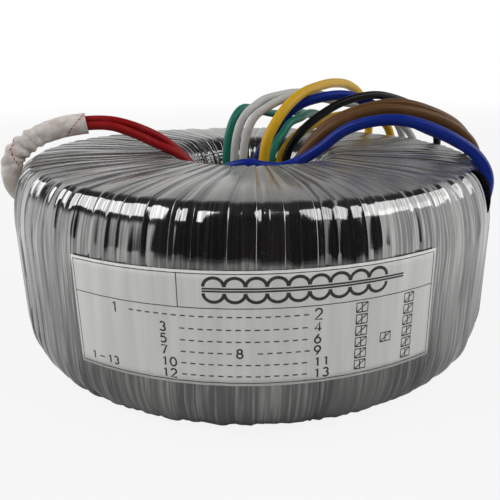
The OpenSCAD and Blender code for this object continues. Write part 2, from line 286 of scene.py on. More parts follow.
# Name, finish, diameter, angle of its tail, declared length, points over the
# top, place where it hangs, height of its cut end
LEADS = [
    ("lead_red_a", "red", 2.6, 187, 136, [
        (-43, -2, 66), (-36, -1.5, 64), (-29, -0.5, 60.5), (-24.5, 0, 57),
        (-20.5, 0, 53), (-17.5, 0, 48)], (-16, 0), 11),
    ("lead_red_b", "red", 2.6, 192, 135, [
        (-43, -5, 64.5), (-36, -4.5, 62), (-29, -4, 58.5), (-25, -4, 56.8),
        (-21, -4, 54), (-18, -4, 50)], (-16, -4), 10),
    ("lead_blue_a", "blue", 3.2, 338, 153, [
        (65.5, -26.5, 50.5), (63, -25.5, 56), (57.5, -24.5, 60.5), (49.5, -22.5, 64.5),
        (41.5, -21, 66.5), (33.5, -19, 66), (26.5, -17.5, 63.5), (20, -16.5, 58.5),
        (14.5, -15.5, 55), (9, -16, 53), (4, -17.5, 53.5), (-1, -18, 54.5),
        (-6, -17, 53.5), (-10, -15, 50.5), (-12, -13, 46)], (-12.5, -12), 12),
    ("lead_blue_b", "blue", 3.2, 345, 166, [
        (67.5, -18, 51), (65, -16, 56), (60, -11.5, 59.5), (55.5, -1, 61.5),
        (50, 7, 64), (44, 12.5, 66.5), (38, 13.5, 69.5), (31, 12.5, 71.5),
        (23, 10.5, 71), (16, 9, 69), (11.5, 8.5, 65.5), (9, 8, 61.5),
        (6, 7, 58), (3.5, 5, 55.5), (1.5, 3.5, 51.5)], (1, 3), 9),
    ("lead_brown_a", "brown", 3.2, 359, 142, [
        (69.5, -1, 51), (68, -2, 57.5), (63, -4, 63), (54, -6.5, 67.5),
        (44.5, -8, 70), (37, -9, 69.5), (29.5, -9, 67.5), (23.5, -8.5, 64.5),
        (18, -8.5, 59), (14.5, -8.5, 53)], (14, -8.5), 8),
    ("lead_brown_b", "brown", 3.2, 352, 136, [
        (68.5, -10, 51), (66.5, -10, 57.5), (60.5, -10.5, 63), (52.5, -11, 66.5),
        (43.5, -12, 68.5), (36, -12.5, 68.5), (29, -12.5, 66.5), (23, -12.5, 63.5),
        (17.5, -12, 58.5), (13.5, -11.8, 53.5)], (12.5, -11.8), 11),
    ("lead_black", "black", 2.6, 18, 145, [
        (66, 21.5, 51), (65.5, 21, 56.5), (62, 20, 62), (56.5, 17.5, 66.5),
        (50, 15, 69.5), (41, 11, 71.5), (30.5, 6.5, 70), (22, 3, 66),
        (15.5, 0, 61), (11.5, -1.5, 55)], (10.5, -2), 10),
    ("lead_white_a", "white", 2.6, 33, 162, [
        (58.5, 38, 51), (56, 37, 58), (50, 35.5, 64.5), (41, 32, 68.5),
        (31, 27.5, 70), (22.5, 21.5, 71.5), (15, 15, 72.5), (9.5, 10.5, 72),
        (4.5, 7, 71), (1, 4, 69), (-1.5, 2, 67), (-3.5, 1, 63.5),
        (-5, 0, 58.5)], (-6, -0.5), 12),
    ("lead_white_b", "white", 2.6, 28, 161, [
        (61.5, 32.5, 51), (58, 32, 57.5), (52, 29.5, 62), (42, 26, 66.5),
        (32, 22, 68.5), (23, 17.5, 70.5), (15, 11, 71.5), (10.5, 6.5, 71),
        (4.5, 2, 68.5), (1, -0.5, 66), (-1.5, -2, 61), (-2.5, -3, 56)], (-3, -3.5), 9),
    ("lead_green_a", "green", 2.6, 64, 154, [
        (30, 62, 52), (28.5, 60, 57.5), (24, 53, 61.5), (19, 45, 63.5),
        (8.5, 29, 64.5), (4, 21.5, 66), (-2.5, 11.5, 68), (-5, 7.5, 66),
        (-7, 4.5, 61.5), (-8, 3, 55.5)], (-8.5, 3), 10),
    ("lead_green_b", "green", 2.6, 58, 148, [
        (36.5, 58.5, 52), (33.5, 51.5, 58), (27, 38.5, 62.5), (21, 24, 65),
        (16.5, 12, 64.5), (12.5, 5.5, 63.5), (10, 2, 60.5), (7.5, -1, 57.5),
        (6, -2.5, 53)], (5.5, -3), 8),
    ("lead_yellow_a", "yellow", 3.2, 48, 168, [
        (47, 52.5, 51), (48, 53.5, 55.5), (46, 51, 62), (43, 47.5, 69),
        (37, 39, 73.4), (30, 28, 74.85), (23.5, 17, 74.45), (16, 5, 72.5),
        (10.5, -2, 68.5), (7, -5.5, 64), (4.5, -7.5, 59)], (3, -8.5), 11),
    ("lead_yellow_b", "yellow", 3.2, 38, 142, [
        (55, 43.5, 52), (53, 42.5, 57.5), (48, 38.5, 61.5), (41, 31, 63),
        (33, 23, 64), (25, 14, 63.5), (18.5, 7, 62), (14, 3.5, 59),
        (10.5, 2, 55), (9, 1.8, 50)], (8.5, 1.8), 9),
]

print(len(LEADS), "leads")

# %% [markdown]
# A smooth curve is drawn through the points. A Bezier curve would need handles
# set by hand. This one passes through every point by itself and makes no loops
# between them. Its length is measured, to compare it with the declared one.


# %% Draw a curve through the points
def unit(v):
    """Vectors of length one."""
    return v / np.linalg.norm(v, axis=-1, keepdims=True)


def tangents(points):
    return unit(np.gradient(points, axis=0))


sleeve_t = tangents(SLEEVE_ROUTE)
pair_side = unit(SLEEVE_PAIR - np.sum(SLEEVE_PAIR * sleeve_t, 1, keepdims=True) * sleeve_t)


def whole_route(name, angle, points, place, end):
    """Tail in the wall, then over the top, then down the hole."""
    turn = math.radians(angle)
    tail = [(TAIL_R * math.cos(turn), TAIL_R * math.sin(turn), SPLICE_TOP + rise)
            for rise in TAIL_RISES]
    through = []
    if name.startswith("lead_red"):
        way = 0.5 if name == "lead_red_a" else -0.5
        through = (SLEEVE_ROUTE + way * RED_PITCH * pair_side).tolist()
    hang = [(*place, z) for z in (*HANG, end)]
    return np.array([*tail, *through, *points, *hang], float) * MM


def smooth_line(points, step):
    """A curve through the points, with samples about `step` apart."""
    p = np.vstack([2 * points[0] - points[1], points, 2 * points[-1] - points[-2]])
    knots = np.concatenate([[0], np.cumsum(np.sqrt(np.linalg.norm(np.diff(p, axis=0), axis=1)))])
    line = []
    for k in range(1, len(p) - 2):
        count = max(2, round(np.linalg.norm(p[k + 1] - p[k]) / step))
        t = np.linspace(knots[k], knots[k + 1], count, endpoint=False)[:, None]
        t0, t1, t2, t3 = knots[k - 1:k + 3]
        a1 = (t1 - t) / (t1 - t0) * p[k - 1] + (t - t0) / (t1 - t0) * p[k]
        a2 = (t2 - t) / (t2 - t1) * p[k] + (t - t1) / (t2 - t1) * p[k + 1]
        a3 = (t3 - t) / (t3 - t2) * p[k + 1] + (t - t2) / (t3 - t2) * p[k + 2]
        b1 = (t2 - t) / (t2 - t0) * a1 + (t - t0) / (t2 - t0) * a2
        b2 = (t3 - t) / (t3 - t1) * a2 + (t - t1) / (t3 - t1) * a3
        line.append((t2 - t) / (t2 - t1) * b1 + (t - t1) / (t2 - t1) * b2)
    return np.vstack([*line, points[-1:]])


def length_of(line):
    return float(np.sum(np.linalg.norm(np.diff(line, axis=0), axis=1)))


print("route helpers ready")

# %% [markdown]
# ## Sweeping a tube
# A tube is a circle carried along a line. The circle mustn't twist, so each
# frame is the last one turned by as little as the line turns.


# %% Sweep a section along a line
# How far a cut end bulges and how wide its flat is, in radii
CUT_BULGE, CUT_FLAT = 0.12, 0.86


def carried_frames(line):
    """At each point: the direction of the line, and two directions across it."""
    t = tangents(line)
    side = np.zeros_like(line)
    n = np.array((0.2, 1, 0.1))  # any direction that isn't along the line
    for k in range(len(line)):
        n = unit(n - np.dot(n, t[k]) * t[k])
        side[k] = n
    return t, side, np.cross(t, side)


def swept(name, line, radius, sides=20):
    """A tube along the line, with slightly rounded cut ends."""
    t, n, b = carried_frames(line)
    a = np.linspace(0, 2 * np.pi, sides, endpoint=False)
    ring = np.cos(a)[None, :, None] * n[:, None] + np.sin(a)[None, :, None] * b[:, None]
    start = line[0] - CUT_BULGE * radius * t[0]
    end = line[-1] + CUT_BULGE * radius * t[-1]
    points = np.array([
        start + 0 * ring[0], start + CUT_FLAT * radius * ring[0],
        *(line[:, None] + radius * ring),
        end + CUT_FLAT * radius * ring[-1], end + 0 * ring[-1]])
    steps = np.linalg.norm(np.diff(points[:, 0], axis=0), axis=1)
    length = np.concatenate([[0], np.cumsum(steps)])
    return grid_mesh(name, points, False, True, (length, np.arange(sides + 1) / sides))


print("tube helper ready")

# %% [markdown]
# ## Insulation
# The leads are covered in soft plastic, coloured all through: glossy but not
# mirror-like, with faint drag marks along the wire where it was extruded, and a
# little dust and dulling from handling.


# %% Lead finishes
def insulation(name, colour, shade, gloss):
    def vary(s):
        u, v = s.along("run")
        dulled = s.noise(s.place(), 260, 4, 0.6)
        drag = s.noise(s.vector(u * 40, v * 24), 1, 2)
        wear = dulled.fade(0.45, 0.75)
        return {
            "Base Color": (0.6 * wear + 0.25 * drag).mix(colour, shade),
            "Roughness": gloss + 0.12 * wear + 0.08 * drag,
            "Normal": s.bump(drag + 0.6 * dulled, 0.00006, 0.5),
        }
    return finish(name, vary, IOR=1.45, specular_ior_level=0.25,
                  coat_weight=0.03, coat_roughness=0.15)


LEAD_FINISHES = {
    "red": insulation("insulation_red", (0.31, 0.006, 0.008), (0.37, 0.02, 0.02), 0.28),
    "blue": insulation("insulation_blue", (0.005, 0.022, 0.24), (0.012, 0.04, 0.30), 0.26),
    "brown": insulation("insulation_brown", (0.12, 0.052, 0.015), (0.17, 0.09, 0.04), 0.34),
    "black": insulation("insulation_black", (0.003, 0.003, 0.004), (0.010, 0.010, 0.012), 0.3),
    "white": insulation("insulation_white", (0.60, 0.60, 0.58), (0.52, 0.51, 0.48), 0.32),
    "green": insulation("insulation_green", (0.014, 0.19, 0.13), (0.03, 0.24, 0.17), 0.3),
    "yellow": insulation("insulation_yellow", (0.72, 0.42, 0.008), (0.66, 0.38, 0.03), 0.3),
}


def tinned(s):
    dull = s.noise(s.place(), 900, 3, 0.6)
    return {
        "Base Color": dull.mix((0.62, 0.61, 0.58), (0.42, 0.41, 0.39)),
        "Roughness": 0.25 + 0.3 * dull,
        "Normal": s.bump(dull, 0.00005, 0.4),
    }


TINNED = finish("tinned_copper", tinned, metallic=1.0)
print("finishes", sorted(LEAD_FINISHES))

# %% [markdown]
# ## The leads themselves
# Each lead is one swept tube, and its bared end is seven tinned strands twisted
# together: six round one.


# %% Twist the strands of a bared end
OUTER_STRANDS = 6
TWIST = 900  # radians in a metre


def strands(name, top, diameter, sides=8, steps=22):
    """Six strands twisted round one, running straight down from `top`."""
    strand_r = diameter / 6
    z = np.linspace(0, TINNED_L * MM, steps)
    a = np.linspace(0, 2 * np.pi, sides, endpoint=False)
    points, faces = [], []
    for k in range(OUTER_STRANDS + 1):
        turn = 2 * np.pi * k / OUTER_STRANDS + z * TWIST
        away = 0 if k == OUTER_STRANDS else 2 * strand_r
        centre = np.stack([away * np.cos(turn), away * np.sin(turn), -z], 1) + top
        first = len(points) * sides
        for row in centre:
            points.append(np.column_stack([row[0] + strand_r * np.cos(a),
                                           row[1] + strand_r * np.sin(a),
                                           np.full(sides, row[2])]))
        for i in range(steps - 1):
            for j in range(sides):
                p, q = first + sides * i + j, first + sides * i + (j + 1) % sides
                faces.append((p, q, q + sides, p + sides))
        faces.append(tuple(first + sides * (steps - 1) + j for j in range(sides)))
    mesh = bpy.data.meshes.new(name)
    mesh.from_pydata(np.vstack(points).tolist(), [], faces)
    mesh.uv_layers.new(name="run")
    mesh.shade_smooth()
    return show(name, mesh)


print("strand helper ready")

# %% Make the leads
LEAD_STEP = 1.1 * MM
LEAD_LINES = {}
lead_pieces = {}
tips = {}
for name, colour, diameter, angle, length, points, place, end in LEADS:
    line = smooth_line(whole_route(name, angle, points, place, end), LEAD_STEP)
    LEAD_LINES[name] = line
    lead = swept(name + "_wire", line, diameter / 2 * MM)
    dress(lead, LEAD_FINISHES[colour], "lead_" + colour, name)
    tip = strands(name.replace("lead", "bared_end"), line[-1], TINNED_D * MM)
    dress(tip, TINNED, "tinned_wire", "tinned_ends")
    lead_pieces[name], tips[name] = lead, tip
    print(name, "measures", round(length_of(line) / MM, 1), "mm and is declared as", length)

# %% [markdown]
# ## The sleeve over the red leads
# Both primary leads share one sleeve of woven glass yarn, off-white with a
# red-brown tracer thread that climbs round it. It is soft: it lies flat over
# the pair, and crumples where it turns over the rim. A flat oval is swept along
# the sleeve's line, and wrinkles are pressed into it where it bends.

# %% Lay the sleeve's line
SLEEVE_SIDES = 72
SLEEVE_WALL = 0.3  # millimetres, as are the next two
HALF_WIDE, HALF_THIN = 3.4, 2.8
SQUARED = 0.82  # 1 is a true oval, and less is more like a box
SLEEVE_LINE = smooth_line(np.vstack([TUCKED, SLEEVE_ROUTE]) * MM, 0.35 * MM)
share = np.linspace(0, 1, len(SLEEVE_LINE))
pick = np.linspace(-len(TUCKED), len(SLEEVE_ROUTE) - 1, len(SLEEVE_LINE))
side_at = np.stack([
    np.interp(pick, range(len(SLEEVE_ROUTE)), pair_side[:, c]) for c in range(3)], 1)
print("sleeve line", round(length_of(SLEEVE_LINE) / MM, 1), "mm long")


# %% Make the sleeve
def sleeve_points(inset):
    """Rings of points: a squared oval that holds the two leads side by side."""
    t = tangents(SLEEVE_LINE)
    wide = unit(side_at - np.sum(side_at * t, 1, keepdims=True) * t)
    thin = np.cross(t, wide)
    a = np.linspace(0, 2 * np.pi, SLEEVE_SIDES, endpoint=False)[None]
    x = share[:, None]
    c, s = np.cos(a), np.sin(a)
    # The foot narrows into the film, the kink over the rim is crumpled, and the
    # mouth is pressed a little flat
    kink = np.exp(-((x - 0.5) / 0.16) ** 2)
    mouth = np.clip((x - 0.85) / 0.15, 0, 1)
    foot = np.clip(1 - x / 0.32, 0, 1)
    crumple = (np.sin(9 * np.pi * x * 3 + 2 * np.sin(a)) * 0.34
               + np.sin(5 * a + 31 * x) * 0.16 + np.sin(3 * a - 47 * x) * 0.16) * kink
    ripple = 0.05 * np.sin(7 * a + 23 * x) + 0.04 * np.sin(4 * a - 38 * x)
    half_wide = (HALF_WIDE - 0.06 * kink + 0.05 * mouth - 0.5 * foot - inset) * MM
    half_thin = (HALF_THIN + 0.2 * kink - 0.1 * mouth - 1.1 * foot - inset) * MM
    push = (crumple + ripple) * MM * (0.35 if inset else 1)
    out_w = np.sign(c) * np.abs(c) ** SQUARED * (half_wide + np.minimum(push, 0))
    out_t = np.sign(s) * np.abs(s) ** SQUARED * (half_thin + push)
    return (SLEEVE_LINE[:, None] + out_w[..., None] * wide[:, None]
            + out_t[..., None] * thin[:, None])


outer = sleeve_points(0)
inner = sleeve_points(SLEEVE_WALL)
loop = np.concatenate([outer, inner[::-1]])
along = np.concatenate([share, share[::-1]])
sleeve = grid_mesh("red_pair_sleeve", loop, True, True,
                   (np.append(along, along[0]), np.arange(SLEEVE_SIDES + 1) / SLEEVE_SIDES))
print("sleeve of", len(sleeve.data.polygons), "faces")

# %% [markdown]
# Real threads would be thousands of tiny tubes, which nobody could see at this
# size. So the weave is two crossing waves that lift the surface a little, and
# the tracer is a thin band that climbs round, broken into dashes where it dives
# under the other threads.


# %% Sleeve finish
def woven(s):
    u, v = s.along("run")
    yarn_a = s.maths("SINE", u * 330 + v * 190)
    yarn_b = s.maths("SINE", u * 330 - v * 190)
    weave = s.maths("MAXIMUM", yarn_a, yarn_b)
    climb = s.maths("FRACT", u * 2.3 + v)
    dash = s.maths("SINE", v * 150 + u * 60)
    tracer = (s.maths("ABSOLUTE", climb - 0.5) < 0.017) * (dash > -0.35)
    blot = s.noise(s.place(), 420, 3)
    cloth = blot.fade(0.3, 0.7).mix((0.84, 0.79, 0.75), (0.66, 0.58, 0.53))
    return {
        "Base Color": tracer.mix(cloth, (0.45, 0.09, 0.04)),
        "Roughness": 0.5 + 0.2 * blot,
        "Normal": s.bump(weave, 0.00012, 0.5),
    }


WOVEN = finish("woven_glass_sleeve", woven, IOR=1.5, sheen_weight=0.15)
dress(sleeve, WOVEN, "woven_sleeve", "lead_sleeve")
print("sleeve dressed in", WOVEN.name)

# %% [markdown]
# ## Where the leads leave the film
# Each lead is a free cord with a bare far end, and its path is the line it was
# swept along. The point where each line rises out of the film is found.

EXIT_H = 46 * MM  # a lead is out of the film above this
for name, colour, diameter, _, length, *_ in LEADS:
    line = LEAD_LINES[name]
    out = int(np.argmax(line[:, 2] > EXIT_H))

# %% [markdown]
# ## The film wrap
# One long tape of glossy film is wound round and round the ring. Each turn lies
# flat between its two edges, so it mirrors the room as one narrow facet, and
# its neighbour mirrors another part of it: bright beside black. Where the tape
# narrows towards the hole it gathers in fine creases. So every turn is drawn by
# itself: a straight strip between two edges, tilted and bowed a little by
# chance, with a step down to the next turn.

# %% The ring's section as a line to wrap
BACK = 72.34 * MM  # the film reaches no further back, as in the part's source
SHOULDER_W, SHOULDER_H = 7 * MM, 17.5 * MM
FOOT_W, FOOT_H = 8 * MM, 14 * MM
LIP = 10 * MM
LAP = 0.34 * MM
TURNS = 72


def arc(centre, w, h, start, stop, steps):
    a = np.radians(np.linspace(start, stop, steps))
    return np.stack([centre[0] + w * np.cos(a), centre[1] + h * np.sin(a)], 1)


def line_between(a, b, steps):
    return np.linspace(a, b, steps + 2)[1:-1]


def section(inset):
    """The ring's section from foot to shoulder to hole, that much smaller."""
    r, top, hole = ring_r - inset, ring_h - inset, hole_r + inset
    foot = arc((r - FOOT_W, FOOT_H), FOOT_W, FOOT_H, -90, 0, 12)
    shoulder = arc((r - SHOULDER_W, top - SHOULDER_H), SHOULDER_W, SHOULDER_H, 0, 90, 26)
    lip_top = arc((hole + LIP, top - LIP), LIP, LIP, 90, 180, 14)
    lip_low = arc((hole + LIP, LIP), LIP, LIP, 180, 270, 10)
    return np.vstack([
        foot, line_between(foot[-1], shoulder[0], 12), shoulder,
        line_between(shoulder[-1], lip_top[0], 16), lip_top,
        line_between(lip_top[-1], lip_low[0], 16), lip_low,
        line_between(lip_low[-1], foot[0], 8)])


outline = section(LAP)
n_out = len(outline)
step_d = np.roll(outline, -1, 0) - np.roll(outline, 1, 0)
outward = unit(np.stack([step_d[:, 1], -step_d[:, 0]], 1))
run = np.concatenate([[0], np.cumsum(np.linalg.norm(np.diff(outline, axis=0), axis=1))])
loop_length = run[-1] + np.linalg.norm(outline[0] - outline[-1])
print("section of", n_out, "points,", round(loop_length / MM), "mm round")

# %% [markdown]
# No two turns lie alike. Waves in the turn's number shift where each starts and
# how much it laps, and chance sets where its three folds run and how it bows.
# The generator has a fixed seed, so that the same film is made each time.

# %% Bend each turn by chance
rng = np.random.default_rng(21)
PITCH = 2 * math.pi / TURNS
CREST = 0.80  # where a turn's cut edge is, as a share of its width
turn_no = np.arange(TURNS)
turn_start = PITCH * (turn_no + 0.15 * (np.sin(np.radians(137 * turn_no))
                                        + 0.5 * np.sin(np.radians(61 * turn_no))))
turn_lap = LAP * (0.75 + 0.25 * np.sin(np.radians(97 * turn_no)))
next_start = np.append(turn_start[1:], turn_start[0] + 2 * math.pi)


def wander(knots, size):
    """A slow random line along the section, one for each turn."""
    value = rng.normal(0, size, (TURNS, knots))
    value = np.concatenate([value, value[:, :1]], 1)
    x = run / loop_length * knots
    k = x.astype(int)
    f = (1 - np.cos(np.pi * (x - k))) / 2
    return value[:, k] * (1 - f) + value[:, np.minimum(k + 1, knots)] * f


# Each turn has three folds along it, a bow between its edges, and ripples
FOLDS = 3
FOLD_GAP = 0.04
FOLD_HALF = 0.02  # half the width of a fold's blunt ridge
fold_at = np.sort(rng.uniform(0.12, 0.88, (TURNS, FOLDS)), 1) + [-FOLD_GAP, 0, FOLD_GAP]
fold_lift = np.stack([wander(9, 0.07 * MM) + rng.normal(0.02 * MM, 0.13 * MM, (TURNS, 1))
                      for _ in range(FOLDS)])
bow = 0.14 * MM * rng.uniform(0.2, 1.9, (TURNS, 1)) + wander(15, 0.10 * MM)
sway = wander(22, 0.05 * MM)
ripple_a = wander(46, 0.012 * MM)
ripple_b = wander(60, 0.010 * MM)
# The underside is pressed flat
pressed = np.where(outline[:, 1] < 0.5 * MM, 0.0, 1.0)
# A turn narrows towards the hole, and its folds with it
narrowing = outline[:, 0] / ring_r
print(TURNS, "turns with", FOLDS, "folds each")

# %% [markdown]
# A turn is a row of columns that run round the section: at its two edges, at
# both sides of each fold, and on the step down to the next turn. Past its cut
# edge it drops a little, and slopes down to the next one.

# %% Draw the turns
# Share of the turn's width, share of the lap's height, and whether it is cut
PAST_EDGE = ((0.812, 0.58, 1.0), (0.824, 0.55, 0.0), (0.97, 0.05, 0.0))
columns, across_at, edge_at = [], [], []
slip = PITCH * run / loop_length


def on_ring(angle, depth):
    """Points of the outline at that angle, moved out by depth."""
    q = outline + depth[:, None] * outward
    return np.stack([q[:, 0] * np.cos(angle), q[:, 0] * np.sin(angle), q[:, 1]], 1)


for t in range(TURNS):
    foot_angle = turn_start[t] + slip
    wide = next_start[t] - turn_start[t]
    foot = on_ring(foot_angle, pressed * sway[t])
    crest = on_ring(foot_angle + CREST * wide, pressed * (turn_lap[t] + sway[t]))
    up = np.stack([outward[:, 0] * np.cos(foot_angle + wide / 2),
                   outward[:, 0] * np.sin(foot_angle + wide / 2), outward[:, 1]], 1)
    knots = [0, *fold_at[t], 1]
    places = sorted([0, *(fold_at[t] - FOLD_HALF), *(fold_at[t] + FOLD_HALF), 0.985, 1])
    for f in places:
        heights = [0 * run, *fold_lift[:, t], 0 * run]
        k = min(np.searchsorted(knots, f, "right"), FOLDS + 1) - 1
        g = (f - knots[k]) / (knots[k + 1] - knots[k])
        fold = heights[k] * (1 - g) + heights[k + 1] * g
        lift = (fold + bow[t] * 4 * f * (1 - f) + ripple_a[t] * np.sin(np.pi * f)
                + ripple_b[t] * np.sin(3 * np.pi * f)) * pressed * narrowing
        columns.append(foot * (1 - f) + crest * f + lift[:, None] * up)
        across_at.append(t + f * CREST)
        edge_at.append(np.full(n_out, 1.0 if f == 1 else 0.0))
    for u, share_up, cut in PAST_EDGE:
        columns.append(on_ring(
            foot_angle + u * wide, pressed * (turn_lap[t] * share_up + sway[t] * (1 - u))))
        across_at.append(t + u)
        edge_at.append(np.full(n_out, cut))

film_points = np.array(columns)
print("film of", film_points.shape[0], "columns and", n_out, "points each")

# %% [markdown]
# The leads push up through the film near the rim, and it stands up a little
# round each. Then the film is brought back to the ring's radius and height.

# %% Lift the film at the leads
LIFT, LIFT_REACH, LIFT_AT = 0.5 * MM, 3.2 * MM, 49 * MM
flat = film_points.reshape(-1, 3)
for line in LEAD_LINES.values():
    out = line[int(np.argmax(line[:, 2] > LIFT_AT))]
    near = np.exp(-(np.linalg.norm(flat - out, axis=1) / LIFT_REACH) ** 2)
    up_and_out = unit(flat * np.array([0.5, 0.5, 0]) + np.array([0, 0, 0.03]))
    flat += (near * LIFT)[:, None] * up_and_out
radius = np.hypot(flat[:, 0], flat[:, 1])
shrink = np.minimum(1, (ring_r - 0.02 * MM) / radius)
flat[:, 0] *= shrink
flat[:, 1] = np.minimum(flat[:, 1] * shrink, BACK)
flat[:, 2] = np.clip(flat[:, 2], 0, ring_h)
print("film reaches", round(float(flat[:, 2].max()), 4), "m up")

# %% [markdown]
# The winding beneath is uneven. The top is highest at the left, towards the
# back, and sags at its outer rim. The foot stays as it is, and the unevenness
# grows from there to the top.

# %% Make the top uneven
EVEN_H, GROWS_OVER = 18, 32  # millimetres
x, y = flat[:, 0] / ring_r, flat[:, 1] / ring_r
upper = np.clip((flat[:, 2] / MM - EVEN_H) / GROWS_OVER, 0, 1)
sag = np.clip((np.hypot(x, y) - 0.70) / 0.22, 0, 1) ** 2
uneven = 0.3 - 1.3 * x + 0.6 * x ** 2 + 0.4 * y - 1.15 * sag
flat[:, 2] += uneven * MM * upper ** 2 * (3 - 2 * upper)
print("highest and lowest part of the top differ by",
      round(float(np.ptp(uneven[upper > 0.99])), 1), "mm")

# %% [markdown]
# Beside the front blue lead one turn has come away from the next, which leaves
# a dark slit over the shoulder. The columns on both sides of it are turned
# apart, and the faces between them are left out.

# %% Open the slit and make the film
SLIT_ANGLE, SLIT_R, SLIT_H = 329, 71.2 * MM, 52 * MM
SLIT_HALF = 9  # in points of the outline
SLIT_TURN = 0.026  # radians
film_columns = len(film_points) // TURNS
slit_turn = int(np.argmin(np.abs(np.degrees(turn_start) % 360 - SLIT_ANGLE)))
slit_mid = int(np.argmin(np.hypot(outline[:, 0] - SLIT_R, outline[:, 1] - SLIT_H)))
opening = np.clip(1 - ((np.arange(n_out) - slit_mid) / SLIT_HALF) ** 2, 0, 1) ** 0.8
is_open = opening > 0.05
last = (slit_turn - 1) * film_columns + film_columns - 1
first = slit_turn * film_columns
slit_angle = turn_start[slit_turn]
away = np.stack([outward[:, 0] * np.cos(slit_angle), outward[:, 0] * np.sin(slit_angle),
                 outward[:, 1]], 1)
# column, how far it turns back, and how far the loose flap stands up
for column, way, stand in ((last, -2.0, -0.2), (last - 1, -1.3, 0), (first, 1, 1.5),
                           (first + 1, 0.8, 1.2), (first + 2, 0.6, 0.8), (first + 3, 0.3, 0.4)):
    p = film_points[column]
    turn_by = way * opening * SLIT_TURN
    x, y = p[:, 0].copy(), p[:, 1].copy()
    p[:, 0] = x * np.cos(turn_by) - y * np.sin(turn_by)
    p[:, 1] = x * np.sin(turn_by) + y * np.cos(turn_by)
    p += away * (stand * MM * opening)[:, None]
    edge_at[column] = np.where(is_open, 0.8 if column == first else 0.0, edge_at[column])


def faces_kept(a, b):
    """Every face but those across the open slit."""
    return ~((a == last) & is_open[b % n_out] & is_open[(b + 1) % n_out])


# The last point of a turn meets the first point of the next turn
film_rows = np.concatenate([film_points, np.roll(film_points, -film_columns, 0)[:, :1]], 1)
edges = np.array(edge_at)
film = grid_mesh(
    "film_turns", film_rows, True, False,
    (np.append(across_at, TURNS), np.append(run, loop_length) / MM),
    {"edge": np.concatenate([edges, edges[:, :1]], 1)},
    faces_kept)
print("film has", len(film.data.polygons), "faces")

# %% [markdown]
# The film is dark, and several layers of it reflect far more than one sheet of
# plastic would, so it is shaded as a dark metal: black straight on and bright
# at a grazing angle. Streaks run along each turn and cut edges are paler. Where
# the film faces up it gets a paler, less metallic colour, a painted sheen for
# the flat top, and it is a little rougher there too.


# %% Film finish
def wrap_finish(s):
    u, v = s.along("run")
    which = s.maths("FLOOR", u)
    # A random number of its own for each turn
    own = s.node("ShaderNodeTexWhiteNoise", {"noise_dimensions": "1D"}, {"W": which})
    own = own.other("Value")
    edge = s.kept("edge").fade(0.5, 1.0) * (0.15 + 0.75 * own)
    streak = s.noise(s.vector(u * 9, v * 0.035), 1, 3, 0.6)
    fine = s.noise(s.vector(u * 26, v * 0.09), 1, 2, 0.5)
    scuff = s.noise(s.place(), 700, 4, 0.7).fade(0.58, 0.8)
    dark = own.mix((0.16, 0.16, 0.16), (0.29, 0.29, 0.285))
    streaked = streak.fade(0.42, 0.75).mix(dark, (0.50, 0.50, 0.49))
    level = s.node("ShaderNodeNewGeometry", out=1).split().other(2)
    # Painted light: faces that point up get a paler, less metallic colour that stands in for the
    # top's pale sheen; the raised roughness there is real dullness
    painted_sheen_top = level.fade(0.86, 0.98)
    streaked_with_painted_sheen = painted_sheen_top.mix(streaked, streak.mix((0.22, 0.22, 0.215), (0.46, 0.46, 0.45)))
    return {
        "Base Color": edge.mix(streaked_with_painted_sheen, (0.55, 0.55, 0.54)),
        "Metallic": 0.95 - 0.5 * edge - 0.12 * scuff - 0.28 * painted_sheen_top * (1 - edge),
        "Roughness": 0.07 + 0.07 * streak * own + 0.2 * edge + 0.10 * scuff + 0.12 * painted_sheen_top,
        "Normal": s.bump(0.7 * streak + 0.3 * fine, 0.00007, 0.3),
    }


FILM = finish("lapped_polyester_film", wrap_finish, IOR=1.6)
dress(film, FILM, "wrap_film", "film_wrap")
print("film dressed in", FILM.name)

# %% [markdown]
# ## The rating label
# A rectangle of grey-white stock, stuck round the wall, with a thin dark frame
# and ruled lines. It takes on the ripple of the turns beneath. Its wording is
# left out: in its place it carries a plain winding symbol, terminal numbers,
# dashes and small boxes, drawn as thin strokes.

# %% The label's sheet, in millimetres
LABEL_W, LABEL_H, LABEL_FOOT = 88.6, 27.1, 14.8
LABEL_MID = math.radians(270)
LABEL_PROUD, STOCK_T, INK_T = 0.15, 0.08, 0.02
label_r = ring_r / MM + LABEL_PROUD


def on_label(x, z, proud=0.0):
    """A point of the label, in millimetres along it from its middle and up."""
    angle = LABEL_MID + np.asarray(x) / (ring_r / MM)
    ripple = 0.035 * np.sin(TURNS * angle + 0.4 * np.sin(3 * angle)) + 0.015 * np.sin(31 * angle)
    r = (label_r + ripple + proud) * MM
    return np.stack([r * np.cos(angle), r * np.sin(angle), np.asarray(z) * MM + 0 * r], -1)


xs = np.linspace(-LABEL_W / 2, LABEL_W / 2, 265)
zs = np.linspace(LABEL_FOOT, LABEL_FOOT + LABEL_H, 14)
X, Z = np.meshgrid(xs, zs, indexing="ij")
face = on_label(X, Z)
back = on_label(X, Z, -STOCK_T)
shell = np.concatenate([face, back[:, ::-1]], 1)
label = grid_mesh("label_sheet", shell, False, True,
                  (xs, np.concatenate([zs, zs[::-1], zs[:1]])))
print("label", len(label.data.polygons), "faces")

# %% [markdown]
# The print is drawn with a pen: each mark is a list of strokes, and each stroke
# becomes a thin ribbon that lies on the label. Digits are built from straight
# lines and arcs in a box one unit high.


# %% Strokes for the print
def bend(x, z, wide, high, start, stop, steps=14):
    return arc((x, z), wide, high, start, stop, steps)


